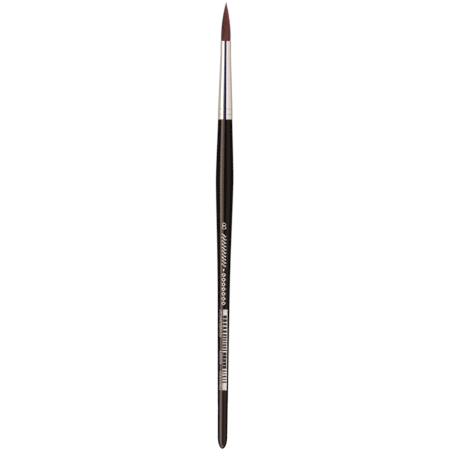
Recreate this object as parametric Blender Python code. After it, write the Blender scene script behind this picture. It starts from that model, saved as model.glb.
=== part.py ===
"""A pointed round paint brush with a long bellied handle, standing on its tail with the tuft up.

The brush is turned about the Z axis. The origin is the end of the tail, and the printed face looks along -Y.
A bundle of filaments is tied with thread and set in adhesive inside a crimped metal ferrule, which holds the
tenon of a turned wooden handle under a coat of lacquer. The filaments bend at the mouth of the ferrule, about
the Y axis.
"""

import math

import bmesh
import bpy

MM = 0.001

# Driving sizes of the whole brush
OVERALL_LENGTH = 280.0 * MM
FERRULE_LENGTH = 49.0 * MM
TUFT_LENGTH = 25.0 * MM  # what shows above the ferrule

# Fits and resolution
FIT_GAP = 0.1 * MM  # left between any two pieces that meet
TURNED_SEGMENTS = 28
WELD_DISTANCE = 1e-7

# Ferrule: a straight band at each end, a cone between them, and two rolled crimps near the handle
FERRULE_MOUTH_DIAMETER = 6.66 * MM
FERRULE_EDGE_DIAMETER = 9.2 * MM
FERRULE_WALL = 0.3 * MM
MOUTH_BAND = 9.0 * MM
EDGE_BAND = 5.0 * MM
CRIMP_HEIGHTS = (3.1 * MM, 6.4 * MM)  # above the ferrule's lower edge
CRIMP_DEPTH = 0.12 * MM
CRIMP_WIDTH = 1.2 * MM
CRIMP_STEPS = 4

# Handle: a slim tapered tail swells to a belly and draws in again to the ferrule
TAIL_DIAMETER = 6.16 * MM
TAIL_ROUND = 7.5 * MM  # length of the rounded end
SLIM_DIAMETER = 7.68 * MM  # where the tail's even taper ends
SWELL_LENGTH = 71.7 * MM  # from there to the belly
SWELL_EASE = (1.9, 1.25)
BELLY_DIAMETER = 11.14 * MM
BELLY_TO_FERRULE = 38.3 * MM
SHOULDER_EASE = (1.56, 1.35)
SHOULDER_STEP = 0.06 * MM  # how far the ferrule stands proud of the lacquer
LACQUER_THICKNESS = 0.15 * MM

# Tenon: what the handle has inside the ferrule
TENON_TO_ADHESIVE = 7.5 * MM  # hollow left between its nose and the roots' adhesive
TENON_NOSE = 1.5 * MM
CRIMPS_TO_GLUE = 2.5 * MM
GLUE_TO_NOSE = 2.0 * MM
GLUE_FILM = 0.25 * MM

# Tuft: filaments that narrow to a point, with an inner bundle that is longer than the outer one
TUFT_EASE = (2.2, 1.15)
POINT_BUNDLE_DIAMETER = 3.2 * MM
BELLY_BUNDLE_EDGE = 0.3 * MM  # thickness of the outer bundle where it ends
BEND_LIMIT = math.radians(35)  # each way

# Inside the ferrule: the tied roots, their thread and the adhesive that they are set in
ROOT_LENGTH = 15.0 * MM
BINDING_SQUEEZE = 0.6 * MM  # how much slimmer the tied roots are than the tuft, all round
FLARE_LENGTH = 2.5 * MM
SOCKET_WALL = 0.4 * MM
THREAD_DIAMETER = 0.35 * MM
THREAD_TURNS = 4
THREAD_SPACING = 0.07 * MM
THREAD_POINTS_A_TURN = 18
ADHESIVE_GRIP = 4.5 * MM
ADHESIVE_FLOOR = 2.5 * MM
ADHESIVE_DISH = 0.8 * MM

# Printed films on the lacquer, from the tail up. Angles are from the front, positive towards +X
PRINT_FILM = 0.08 * MM
PRINT_LIFT = 0.08 * MM
PRINT_SPACING = 2.5 * MM
PANEL_FROM_TAIL = 36.8 * MM
PANEL_LENGTH = 50.3 * MM
PANEL_WIDTH = 3.0 * MM
PANEL_ANGLE = math.radians(17)
FINE_LINES_WIDTH = 1.6 * MM
FINE_LINES_MARGIN = 2.0 * MM  # how much shorter than the panel at each end
FINE_LINES_ANGLE = math.radians(-30)
ORNAMENT_LENGTH = 45.2 * MM
ORNAMENT_WIDTH = 3.3 * MM
SIZE_MARK_LENGTH = 4.1 * MM
SIZE_MARK_WIDTH = 3.3 * MM
PRINT_ROW = 3.0 * MM  # longest stretch of film between two rows of points
PRINT_COLUMNS = 6

# Heights over the tail that follow from the driving sizes
MOUTH_HEIGHT = OVERALL_LENGTH - TUFT_LENGTH
EDGE_HEIGHT = MOUTH_HEIGHT - FERRULE_LENGTH
SHOULDER_HEIGHT = EDGE_HEIGHT - FIT_GAP
BELLY_HEIGHT = SHOULDER_HEIGHT - BELLY_TO_FERRULE
SLIM_HEIGHT = BELLY_HEIGHT - SWELL_LENGTH
ROOT_HEIGHT = MOUTH_HEIGHT - ROOT_LENGTH

# Heights over the ferrule's lower edge that follow from them
ROOTS_IN_FERRULE = FERRULE_LENGTH - ROOT_LENGTH
TENON_LENGTH = ROOTS_IN_FERRULE - ADHESIVE_FLOOR - TENON_TO_ADHESIVE
GLUE_START = max(CRIMP_HEIGHTS) + CRIMPS_TO_GLUE
GLUE_END = TENON_LENGTH - TENON_NOSE - GLUE_TO_NOSE
MOUTH_BAND_START = FERRULE_LENGTH - MOUTH_BAND

# Radii that follow from what fits in what
MOUTH_BORE = FERRULE_MOUTH_DIAMETER / 2 - FERRULE_WALL
TUFT_RADIUS = MOUTH_BORE - FIT_GAP
SHOULDER_RADIUS = FERRULE_EDGE_DIAMETER / 2 - SHOULDER_STEP
BOUND_RADIUS = TUFT_RADIUS - BINDING_SQUEEZE
POINT_BUNDLE_RADIUS = POINT_BUNDLE_DIAMETER / 2
SOCKET_RADIUS = TUFT_RADIUS + FIT_GAP

# The thread's turns, and the length of the roots that is kept narrow for them
THREAD_PITCH = THREAD_DIAMETER + THREAD_SPACING
THREAD_START = ADHESIVE_GRIP + FIT_GAP + THREAD_DIAMETER / 2
BOUND_LENGTH = THREAD_START + THREAD_TURNS * THREAD_PITCH + THREAD_DIAMETER


def ease(share, powers):
    """0 to 1 as share goes from 0 to 1. The two powers set how gently it starts and how roundly it stops."""
    start, stop = powers
    return 1 - (1 - share**start) ** stop


def between(low, high, share):
    return low + (high - low) * share


def steps(low, high, count):
    """count + 1 evenly spaced numbers from low to high."""
    return [between(low, high, i / count) for i in range(count + 1)]


def pivot_rise():
    """How far over the mouth the tuft's pivot is, so that it clears the ferrule's rim at the bend limit."""
    sine, cosine = math.sin(BEND_LIMIT), math.cos(BEND_LIMIT)
    side_at_rim = (MOUTH_BORE - TUFT_RADIUS * cosine) / sine
    drop = TUFT_RADIUS * sine - side_at_rim * cosine
    return drop + 2 * FIT_GAP


PIVOT_RISE = pivot_rise()
PIVOT_HEIGHT = MOUTH_HEIGHT + PIVOT_RISE


# ---------------------------------------------------------------- outlines that several pieces share


def handle_radius(height):
    """Outside of the lacquer at a height over the tail, above the rounded end."""
    taper_share = (height - TAIL_ROUND) / (SLIM_HEIGHT - TAIL_ROUND)
    taper = between(TAIL_DIAMETER, SLIM_DIAMETER, taper_share) / 2
    if height <= SLIM_HEIGHT:
        return taper
    if height <= BELLY_HEIGHT:
        share = (height - SLIM_HEIGHT) / SWELL_LENGTH
        return between(taper, BELLY_DIAMETER / 2, ease(share, SWELL_EASE))
    share = min(1, (height - BELLY_HEIGHT) / BELLY_TO_FERRULE)
    return between(BELLY_DIAMETER / 2, SHOULDER_RADIUS, ease(share, SHOULDER_EASE))


def handle_outline(inset):
    """(radius, height) points from the tail's pole up to the shoulder, this far under the lacquer's face."""
    cap_radius, cap_length = TAIL_DIAMETER / 2 - inset, TAIL_ROUND - inset
    cap = [
        (cap_radius * math.sin(turn), TAIL_ROUND - cap_length * math.cos(turn))
        for turn in steps(0, math.pi / 2, 6)
    ]
    heights = (
        steps(TAIL_ROUND, SLIM_HEIGHT, 3)[1:]
        + steps(SLIM_HEIGHT, BELLY_HEIGHT, 7)[1:]
        + steps(BELLY_HEIGHT, SHOULDER_HEIGHT, 5)[1:]
    )
    return cap + [(handle_radius(height) - inset, height) for height in heights]


def crimp_dip(height):
    """How far the crimps press the ferrule in at a height over its lower edge."""
    for centre in CRIMP_HEIGHTS:
        offset = abs(height - centre) / (CRIMP_WIDTH / 2)
        if offset < 1:
            return CRIMP_DEPTH * (1 + math.cos(math.pi * offset)) / 2
    return 0.0


def ferrule_radius(height):
    """Outside of the ferrule at a height over its lower edge."""
    edge, mouth = FERRULE_EDGE_DIAMETER / 2, FERRULE_MOUTH_DIAMETER / 2
    share = (height - EDGE_BAND) / (MOUTH_BAND_START - EDGE_BAND)
    return between(edge, mouth, min(1, max(0, share))) - crimp_dip(height)


def bore_radius(height):
    return ferrule_radius(height) - FERRULE_WALL


def ferrule_turns(low, high):
    """The heights over the ferrule's lower edge, from low to high, at which its outline turns."""
    heights = {low, high, EDGE_BAND, MOUTH_BAND_START}
    for centre in CRIMP_HEIGHTS:
        heights.update(steps(centre - CRIMP_WIDTH / 2, centre + CRIMP_WIDTH / 2, 2 * CRIMP_STEPS))
    return sorted(height for height in heights if low <= height <= high)


def tuft_radius(height):
    """Outside of the tuft at a height over the ferrule's mouth."""
    share = min(1, max(0, height / TUFT_LENGTH))
    return TUFT_RADIUS * (1 - ease(share, TUFT_EASE))


def tuft_height(radius):
    """Height over the ferrule's mouth where the tuft has narrowed to this radius."""
    start, stop = TUFT_EASE
    return TUFT_LENGTH * (1 - (radius / TUFT_RADIUS) ** (1 / stop)) ** (1 / start)


def ball(radius, low_angle, high_angle, count):
    """Points of the arc of this radius about the pivot. Angles are from straight down."""
    return [
        (radius * math.sin(angle), -radius * math.cos(angle))
        for angle in steps(low_angle, high_angle, count)
    ]


# ---------------------------------------------------------------- making objects


def finish_of(name, colour, roughness, metallic=0.0):
    """A Principled BSDF of one colour."""
    made = bpy.data.materials.new(name)
    made.use_nodes = True
    shader = made.node_tree.nodes["Principled BSDF"]
    shader.inputs["Base Color"].default_value = (*colour, 1)
    shader.inputs["Roughness"].default_value = roughness
    shader.inputs["Metallic"].default_value = metallic
    made.diffuse_color = (*colour, 1)
    return made


def place(name, data, finish, height, holder):
    """An object on the brush's axis at a height over its holder's origin."""
    made = bpy.data.objects.new(name, data)
    made.data.materials.append(finish)
    bpy.context.scene.collection.objects.link(made)
    made.parent = holder
    made.location = (0, 0, height)
    return made


def pivot(name, height, holder=None):
    """An empty on the brush's axis that pieces hang from."""
    made = bpy.data.objects.new(name, None)
    bpy.context.scene.collection.objects.link(made)
    made.parent = holder
    made.location = (0, 0, height)
    return made


def turned(name, outline, finish, height, holder):
    """A solid spun about Z from (radius, height) points, which form a ring unless they start on the axis."""
    shape = bmesh.new()
    points = [shape.verts.new((radius, 0, level)) for radius, level in outline]
    pairs = list(zip(points, points[1:]))
    starts_on_axis = outline[0][0] == 0
    if not starts_on_axis:
        pairs.append((points[-1], points[0]))
    edges = [shape.edges.new(pair) for pair in pairs]
    bmesh.ops.spin(
        shape,
        geom=points + edges,
        cent=(0, 0, 0),
        axis=(0, 0, 1),
        angle=2 * math.pi,
        steps=TURNED_SEGMENTS,
        use_merge=True,
    )
    bmesh.ops.remove_doubles(shape, verts=shape.verts, dist=WELD_DISTANCE)
    bmesh.ops.recalc_face_normals(shape, faces=shape.faces)
    mesh = bpy.data.meshes.new(name)
    shape.to_mesh(mesh)
    shape.free()
    mesh.shade_smooth()
    mesh.set_sharp_from_angle(angle=math.radians(30))
    return place(name, mesh, finish, height, holder)


def film(name, low, high, angle, width, finish, holder):
    """A printed film wrapped on the lacquer between two heights, centred on an angle from the front."""
    rows = max(1, math.ceil((high - low) / PRINT_ROW))
    shape = bmesh.new()
    bmesh.ops.create_grid(shape, x_segments=PRINT_COLUMNS, y_segments=rows, size=0.5)
    for point in shape.verts:
        level = between(low, high, point.co.y + 0.5)
        radius = handle_radius(level) + PRINT_LIFT
        turn = angle + point.co.x * width / radius
        point.co = (radius * math.sin(turn), -radius * math.cos(turn), level)
    bmesh.ops.recalc_face_normals(shape, faces=shape.faces)
    outward = sum(face.normal.dot(face.calc_center_median()) for face in shape.faces)
    if outward < 0:
        bmesh.ops.reverse_faces(shape, faces=shape.faces)
    mesh = bpy.data.meshes.new(name)
    shape.to_mesh(mesh)
    shape.free()
    made = place(name, mesh, finish, 0, holder)
    thickness = made.modifiers.new("thickness", "SOLIDIFY")
    thickness.thickness = PRINT_FILM
    thickness.offset = 1
    return made


# ---------------------------------------------------------------- the pieces


def add_handle(brush):
    """The turned wood, whose tenon follows the ferrule's bore and is slimmer where the glue lies."""
    wood = finish_of("birch", (0.72, 0.55, 0.36), 0.6)
    glue_step = GLUE_START - FIT_GAP
    crimped = [
        (bore_radius(height) - FIT_GAP, EDGE_HEIGHT + height)
        for height in ferrule_turns(0, glue_step)
    ]
    glued = [
        (bore_radius(height) - 2 * FIT_GAP - GLUE_FILM, EDGE_HEIGHT + height)
        for height in ferrule_turns(glue_step, TENON_LENGTH - TENON_NOSE)
    ]
    nose_radius = glued[-1][0] - TENON_NOSE / 2
    nose = [(nose_radius, EDGE_HEIGHT + TENON_LENGTH), (0, EDGE_HEIGHT + TENON_LENGTH)]
    foot = (crimped[0][0], SHOULDER_HEIGHT)
    outline = handle_outline(LACQUER_THICKNESS + FIT_GAP) + [foot] + crimped + glued + nose
    turned("handle_core", outline, wood, 0, brush)


def add_lacquer(brush):
    """The coat on the handle, closed round the tail and open at the shoulder."""
    black = finish_of("black_lacquer", (0.012, 0.010, 0.009), 0.18)
    outline = handle_outline(0) + handle_outline(LACQUER_THICKNESS)[::-1]
    turned("lacquer_coat", outline, black, 0, brush)


def add_ferrule(brush):
    """The plated tube, with a rounded lip at its mouth."""
    nickel = finish_of("nickel_plate", (0.78, 0.76, 0.73), 0.12, 1.0)
    lip = FERRULE_WALL / 2
    heights = ferrule_turns(0, FERRULE_LENGTH - lip)
    lip_centre = FERRULE_MOUTH_DIAMETER / 2 - lip
    outline = [(ferrule_radius(height), height) for height in heights]
    outline += [
        (lip_centre + lip * math.cos(turn), FERRULE_LENGTH - lip + lip * math.sin(turn))
        for turn in steps(0, math.pi, 4)[1:-1]
    ]
    outline += [(bore_radius(height), height) for height in heights[::-1]]
    turned("ferrule", outline, nickel, EDGE_HEIGHT, brush)


def add_tenon_glue(brush):
    """The sleeve of glue between the tenon and the ferrule."""
    glue = finish_of("wood_glue", (0.80, 0.66, 0.38), 0.35)
    outside = [
        (bore_radius(height) - FIT_GAP, height) for height in ferrule_turns(GLUE_START, GLUE_END)
    ]
    inside = [(radius - GLUE_FILM, height) for radius, height in outside[::-1]]
    turned("tenon_glue", outside + inside, glue, EDGE_HEIGHT, brush)


def add_roots(brush):
    """The tied ends of the filaments, with the hollow on top in which the free part of the tuft turns."""
    filaments = finish_of("root_filaments", (0.16, 0.045, 0.04), 0.5)
    rim_radius = MOUTH_BORE - FIT_GAP - SOCKET_WALL
    rim_angle = math.asin(rim_radius / SOCKET_RADIUS)
    pivot_in_roots = PIVOT_HEIGHT - ROOT_HEIGHT
    rim_height = pivot_in_roots - SOCKET_RADIUS * math.cos(rim_angle)
    flare_end = BOUND_LENGTH + FLARE_LENGTH
    outline = [(0, 0), (BOUND_RADIUS, 0), (BOUND_RADIUS, BOUND_LENGTH)]
    outline += [
        (bore_radius(height) - FIT_GAP, height - ROOTS_IN_FERRULE)
        for height in ferrule_turns(ROOTS_IN_FERRULE + flare_end, ROOTS_IN_FERRULE + rim_height)
    ]
    dish = ball(SOCKET_RADIUS, rim_angle, 0, 5)
    outline += [(radius, pivot_in_roots + height) for radius, height in dish]
    turned("filament_roots", outline, filaments, ROOT_HEIGHT, brush)


def add_thread(brush):
    """The turns of thread that tie the bundle, as one round cord."""
    linen = finish_of("binding_thread", (0.75, 0.68, 0.52), 0.8)
    centre = BOUND_RADIUS + FIT_GAP + THREAD_DIAMETER / 2
    count = THREAD_TURNS * THREAD_POINTS_A_TURN
    path = bpy.data.curves.new("binding_thread", "CURVE")
    path.dimensions = "3D"
    path.bevel_depth = THREAD_DIAMETER / 2
    path.bevel_resolution = 1
    path.use_fill_caps = True
    spline = path.splines.new("POLY")
    spline.points.add(count)
    for i, point in enumerate(spline.points):
        turns = i / THREAD_POINTS_A_TURN
        angle = 2 * math.pi * turns
        point.co = (centre * math.cos(angle), centre * math.sin(angle), turns * THREAD_PITCH, 1)
    place("binding_thread", path, linen, ROOT_HEIGHT + THREAD_START, brush)


def add_root_adhesive(brush):
    """The cup of adhesive that the roots are set in, with a dished underside."""
    epoxy = finish_of("root_adhesive", (0.55, 0.40, 0.20), 0.25)
    bottom = -ADHESIVE_FLOOR
    outside = [
        (bore_radius(height) - FIT_GAP, height - ROOTS_IN_FERRULE)
        for height in ferrule_turns(ROOTS_IN_FERRULE + bottom, ROOTS_IN_FERRULE + ADHESIVE_GRIP)
    ]
    edge = outside[0][0]
    underside = [
        (edge * share, bottom + ADHESIVE_DISH * math.cos(share * math.pi / 2))
        for share in steps(0, 1, 4)[:-1]
    ]
    cup = [(BOUND_RADIUS + FIT_GAP, ADHESIVE_GRIP), (BOUND_RADIUS + FIT_GAP, -FIT_GAP), (0, -FIT_GAP)]
    turned("root_adhesive", underside + outside + cup, epoxy, ROOT_HEIGHT, brush)


def add_tuft(tuft):
    """The free filaments, round where they turn in the roots: a short outer bundle about a long inner one."""
    shorter = finish_of("belly_filaments", (0.17, 0.05, 0.045), 0.45)
    longer = finish_of("point_filaments", (0.20, 0.06, 0.045), 0.45)
    turning_radius = tuft_radius(PIVOT_RISE)

    inner = POINT_BUNDLE_RADIUS + FIT_GAP
    sleeve_end = tuft_height(inner + BELLY_BUNDLE_EDGE)
    outline = ball(turning_radius, math.asin(inner / turning_radius), math.pi / 2, 6)
    outline += [
        (tuft_radius(height), height - PIVOT_RISE)
        for height in steps(PIVOT_RISE, sleeve_end, 7)[1:]
    ]
    outline.append((inner, sleeve_end - PIVOT_RISE))
    turned("belly_filaments", outline, shorter, 0, tuft)

    point_start = tuft_height(POINT_BUNDLE_RADIUS)
    outline = ball(turning_radius, 0, math.asin(POINT_BUNDLE_RADIUS / turning_radius), 3)
    outline += [
        (tuft_radius(height), height - PIVOT_RISE)
        for height in steps(point_start, TUFT_LENGTH, 7)
    ]
    turned("point_filaments", outline, longer, 0, tuft)


def add_prints(brush):
    """The films on the printed face: a coded panel, fine lines beside it, a band of ornament and the size."""
    white = finish_of("white_ink", (0.86, 0.85, 0.83), 0.5)
    silver = finish_of("silver_foil", (0.72, 0.70, 0.67), 0.35, 0.6)
    panel_top = PANEL_FROM_TAIL + PANEL_LENGTH
    ornament_low = panel_top + PRINT_SPACING
    ornament_high = ornament_low + ORNAMENT_LENGTH
    size_low = ornament_high + PRINT_SPACING
    film("code_panel", PANEL_FROM_TAIL, panel_top, PANEL_ANGLE, PANEL_WIDTH, white, brush)
    film(
        "fine_lines",
        PANEL_FROM_TAIL + FINE_LINES_MARGIN,
        panel_top - FINE_LINES_MARGIN,
        FINE_LINES_ANGLE,
        FINE_LINES_WIDTH,
        silver,
        brush,
    )
    film("ornament_band", ornament_low, ornament_high, 0, ORNAMENT_WIDTH, silver, brush)
    film("size_mark", size_low, size_low + SIZE_MARK_LENGTH, 0, SIZE_MARK_WIDTH, silver, brush)


def main():
    for old in list(bpy.data.objects):
        bpy.data.objects.remove(old)
    brush = pivot("brush", 0)
    tuft = pivot("tuft_pivot", PIVOT_HEIGHT, brush)
    add_handle(brush)
    add_lacquer(brush)
    add_ferrule(brush)
    add_tenon_glue(brush)
    add_roots(brush)
    add_thread(brush)
    add_root_adhesive(brush)
    add_tuft(tuft)
    add_prints(brush)


main()
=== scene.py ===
"""The looks of a pointed round paint brush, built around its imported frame.

The brush stands on its tail with its tuft up, and its printed face looks along -Y. Everything is in
metres. The sections follow the brush as it is put together: core, lacquer, ferrule, glue and adhesive,
thread, filaments and print. The floor, the light and the camera come last.
"""

import math

import bmesh
import bpy
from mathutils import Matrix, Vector


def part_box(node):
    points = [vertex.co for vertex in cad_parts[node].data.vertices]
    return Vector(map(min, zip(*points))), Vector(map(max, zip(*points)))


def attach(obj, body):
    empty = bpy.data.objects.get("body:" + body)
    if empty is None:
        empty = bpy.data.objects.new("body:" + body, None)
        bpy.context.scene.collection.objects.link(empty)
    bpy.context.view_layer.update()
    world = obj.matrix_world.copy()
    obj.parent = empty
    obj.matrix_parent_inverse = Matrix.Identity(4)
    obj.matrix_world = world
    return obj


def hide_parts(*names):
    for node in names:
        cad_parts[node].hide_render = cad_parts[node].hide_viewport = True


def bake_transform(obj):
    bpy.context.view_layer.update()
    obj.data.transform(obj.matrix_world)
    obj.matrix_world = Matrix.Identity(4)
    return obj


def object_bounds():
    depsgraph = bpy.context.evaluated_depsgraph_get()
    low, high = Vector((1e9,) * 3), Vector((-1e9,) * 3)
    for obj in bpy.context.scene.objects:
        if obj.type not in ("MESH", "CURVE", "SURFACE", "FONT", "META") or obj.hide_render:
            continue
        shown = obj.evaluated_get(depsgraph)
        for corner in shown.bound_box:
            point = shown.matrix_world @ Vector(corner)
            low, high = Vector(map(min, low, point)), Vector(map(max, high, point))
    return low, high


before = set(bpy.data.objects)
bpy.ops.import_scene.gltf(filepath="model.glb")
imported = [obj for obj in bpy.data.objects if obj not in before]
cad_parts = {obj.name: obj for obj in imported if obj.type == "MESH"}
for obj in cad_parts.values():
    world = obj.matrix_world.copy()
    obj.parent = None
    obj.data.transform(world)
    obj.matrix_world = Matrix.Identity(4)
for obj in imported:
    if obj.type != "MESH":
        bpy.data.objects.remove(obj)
cad_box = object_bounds()
MM = 0.001


# ================================================================ the wooden core
# Close-grained birch, turned on a lathe with its grain along the brush. The tenon in the ferrule is bare
# wood, and all below it lies under the lacquer.


class Field:
    """An output of a node. Arithmetic on it adds Math nodes to the same graph."""

    def __init__(self, graph, socket):
        self.graph = graph
        self.socket = socket

    def output(self, name):
        """Another output of the same node."""
        return Field(self.graph, self.socket.node.outputs[name])

    def math(self, operation, first, second=0.0):
        return self.graph.node("ShaderNodeMath", {"operation": operation}, {0: first, 1: second})

    def __add__(self, other):
        return self.math("ADD", self, other)

    def __sub__(self, other):
        return self.math("SUBTRACT", self, other)

    def __rsub__(self, other):
        return self.math("SUBTRACT", other, self)

    def __mul__(self, other):
        return self.math("MULTIPLY", self, other)

    def __truediv__(self, other):
        return self.math("DIVIDE", self, other)

    def __pow__(self, other):
        return self.math("POWER", self, other)

    def __gt__(self, other):
        return self.math("GREATER_THAN", self, other)

    __radd__ = __add__
    __rmul__ = __mul__


class Graph:
    """A node tree, of a material or of Geometry Nodes, whose nodes all come from one method."""

    def __init__(self, tree):
        self.tree = tree
        tree.nodes.clear()

    def node(self, kind, settings=(), inputs=(), output=0):
        """One output of a new node. Its settings are made first, and each input is a value or a Field."""
        made = self.tree.nodes.new(kind)
        for name, value in dict(settings).items():
            setattr(made, name, value)
        for name, value in dict(inputs).items():
            if isinstance(value, Field):
                self.tree.links.new(value.socket, made.inputs[name])
            else:
                made.inputs[name].default_value = value
        return Field(self, made.outputs[output]) if len(made.outputs) else None

    def position(self, stretch=(1, 1, 1)):
        """The place on the piece, in metres, stretched along the axes."""
        place = self.node("ShaderNodeTexCoord", output="Object")
        return self.node("ShaderNodeVectorMath", {"operation": "MULTIPLY"}, {0: place, 1: stretch})

    def noise(self, place, scale, detail=3.0, roughness=0.5):
        settings = {"Vector": place, "Scale": scale, "Detail": detail, "Roughness": roughness}
        return self.node("ShaderNodeTexNoise", {}, settings)

    def between(self, low, high, share):
        """A number between two, by a share that may stray outside 0 to 1 and is kept in it."""
        ends = {"Value": share, "To Min": low, "To Max": high}
        return self.node("ShaderNodeMapRange", {"clamp": True}, ends)

    def soft_step(self, value, low, high):
        """0 where the value is under low, 1 where it is over high, and smooth in between."""
        ends = {"Value": value, "From Min": low, "From Max": high}
        return self.node("ShaderNodeMapRange", {"interpolation_type": "SMOOTHSTEP"}, ends)

    def blended(self, first, second, share):
        """A colour between two."""
        settings = {"data_type": "RGBA"}
        return self.node("ShaderNodeMix", settings, {0: share, 6: first, 7: second}, output=2)

    def bumped(self, height, distance, normal=None):
        """The normal of a surface that a height from 0 to 1 raises by this distance."""
        inputs = {"Height": height, "Distance": distance, "Strength": 1.0}
        if normal:
            inputs["Normal"] = normal
        return self.node("ShaderNodeBump", {}, inputs)

    def surface(self, inputs):
        """A Principled BSDF as the surface of the material."""
        shader = self.node("ShaderNodeBsdfPrincipled", {}, inputs)
        self.node("ShaderNodeOutputMaterial", {}, {"Surface": shader})


def finish_called(name):
    """A new material, and the graph that its nodes go in."""
    made = bpy.data.materials.new(name)
    made.use_nodes = True
    return made, Graph(made.node_tree)


def birch():
    made, graph = finish_called("turned birch")
    fibre = graph.noise(graph.position((1, 1, 0.03)), 6000, 4, 0.6)
    growth = graph.noise(graph.position((1, 0.35, 0.02)), 420, 2)
    fleck = graph.noise(graph.position((1, 1, 0.25)), 2600, 1) > 0.68
    pale, warm, dark = (0.78, 0.62, 0.42, 1), (0.62, 0.44, 0.26, 1), (0.40, 0.25, 0.13, 1)
    wood = graph.blended(pale, warm, graph.soft_step(growth, 0.35, 0.65))
    wood = graph.blended(wood, warm, graph.soft_step(fibre, 0.45, 0.8) * 0.6)
    wood = graph.blended(wood, dark, fleck * 0.35)
    graph.surface({
        "Base Color": wood,
        "Roughness": graph.between(0.5, 0.72, fibre),
        "Normal": graph.bumped(fibre, 0.02 * MM),
    })
    return made


def give(node, finish):
    """A CAD node keeps its shape and takes this finish."""
    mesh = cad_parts[node].data
    mesh.materials.clear()
    mesh.materials.append(finish)


give("handle_core", birch())


# ================================================================ the lacquered handle
# Several dips of black lacquer over a filler: a deep gloss with the faint ripple of a dipped coat, and the
# hair scratches and finger haze of use. It closes round the tail and ends in a bead against the ferrule.

LACQUER_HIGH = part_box("lacquer_coat")[1].z
FERRULE_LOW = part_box("ferrule")[0].z
BELLY_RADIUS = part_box("lacquer_coat")[1].x
TAIL_RADIUS = 3.08 * MM
TAIL_ROUND = 7.5 * MM
SLIM_RADIUS = 3.84 * MM
SHOULDER_RADIUS = 4.54 * MM
SWELL_LENGTH = 71.7 * MM
SWELL_EASE = (1.9, 1.25)
BELLY_TO_SHOULDER = 38.3 * MM
SHOULDER_EASE = (1.56, 1.35)
COAT = 0.15 * MM  # its thickness
SEAT_GAP = 0.02 * MM  # between the bead and the ferrule
BEAD = 0.12 * MM  # the bead's radius
SHARP = math.radians(35)  # a turned edge over this angle is shaded sharp


def ease(share, start, stop):
    """0 to 1, starting gently by one power and stopping roundly by the other."""
    return 1 - (1 - share**start) ** stop


def steps(low, high, count):
    return [low + (high - low) * i / count for i in range(count + 1)]


def lacquer_radius(height):
    """Outside of the coat at a height over the floor, above the rounded tail."""
    belly = LACQUER_HIGH - BELLY_TO_SHOULDER
    slim = belly - SWELL_LENGTH
    taper = TAIL_RADIUS + (SLIM_RADIUS - TAIL_RADIUS) * (height - TAIL_ROUND) / (slim - TAIL_ROUND)
    if height <= slim:
        return taper
    if height <= belly:
        return taper + (BELLY_RADIUS - taper) * ease((height - slim) / SWELL_LENGTH, *SWELL_EASE)
    share = min(1, (height - belly) / BELLY_TO_SHOULDER)
    return BELLY_RADIUS + (SHOULDER_RADIUS - BELLY_RADIUS) * ease(share, *SHOULDER_EASE)


def handle_line(inset, top, cap_steps, body_steps):
    """(radius, height) up the handle from the tail's pole, this far under the face of the lacquer."""
    cap = [
        ((TAIL_RADIUS - inset) * math.sin(turn), TAIL_ROUND - (TAIL_ROUND - inset) * math.cos(turn))
        for turn in steps(0, math.pi / 2, cap_steps)
    ]
    return cap + [(lacquer_radius(h) - inset, h) for h in steps(TAIL_ROUND, top, body_steps)[1:]]


def meshed(name, shape, finish):
    """An object at the origin from a bmesh, shaded smooth but for its sharp edges."""
    bmesh.ops.recalc_face_normals(shape, faces=shape.faces)
    mesh = bpy.data.meshes.new(name)
    shape.to_mesh(mesh)
    shape.free()
    mesh.shade_smooth()
    mesh.set_sharp_from_angle(angle=SHARP)
    mesh.materials.append(finish)
    made = bpy.data.objects.new(name, mesh)
    bpy.context.scene.collection.objects.link(made)
    return made


def turned(name, outline, finish, around):
    """A closed piece turned about the brush's axis from (radius, height) points."""
    shape = bmesh.new()
    points = [shape.verts.new((radius, 0, height)) for radius, height in outline]
    pairs = list(zip(points, points[1:]))
    if outline[0][0] > 0:
        pairs.append((points[-1], points[0]))
    edges = [shape.edges.new(pair) for pair in pairs]
    bmesh.ops.spin(
        shape,
        geom=points + edges,
        cent=(0, 0, 0),
        axis=(0, 0, 1),
        angle=2 * math.pi,
        steps=around,
        use_merge=True,
    )
    bmesh.ops.remove_doubles(shape, verts=shape.verts, dist=1e-7)
    return meshed(name, shape, finish)


def black_lacquer():
    made, graph = finish_called("black lacquer")
    ripple = graph.noise(graph.position((1, 1, 0.35)), 420, 2)
    dust = graph.noise(graph.position(), 5200, 2, 0.7)
    haze = graph.noise(graph.position((1, 1, 0.4)), 130, 4, 0.6)
    rub = graph.soft_step(graph.noise(graph.position((1, 1, 0.05)), 3800, 2), 0.6, 0.75)
    deep, brown = (0.0045, 0.0036, 0.0032, 1), (0.009, 0.0065, 0.0055, 1)
    even = graph.bumped(ripple, 0.006 * MM)
    graph.surface({
        "Base Color": graph.blended(deep, brown, haze),
        "Roughness": graph.between(0.12, 0.2, haze + rub * 0.25 - 0.1),
        "Specular Tint": (1.0, 0.82, 0.73, 1),
        "IOR": 1.46,
        "Normal": graph.bumped(dust, 0.0005 * MM, even),
    })
    return made


def coat_line():
    """The coat's section: up its face to the bead against the ferrule, and down its inside to the tail."""
    face = handle_line(0, LACQUER_HIGH, cap_steps=20, body_steps=150)
    bead = [
        (
            SHOULDER_RADIUS - BEAD + BEAD * math.cos(turn),
            FERRULE_LOW - SEAT_GAP - BEAD + BEAD * math.sin(turn),
        )
        for turn in steps(0, math.pi / 2, 5)
    ]
    face = [point for point in face if point[1] < bead[0][1]]
    return face + bead + handle_line(COAT, LACQUER_HIGH, cap_steps=8, body_steps=40)[::-1]


coat = turned("handle_lacquer", coat_line(), black_lacquer(), around=112)
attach(coat, "handle_and_ferrule")
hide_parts("lacquer_coat")


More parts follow.
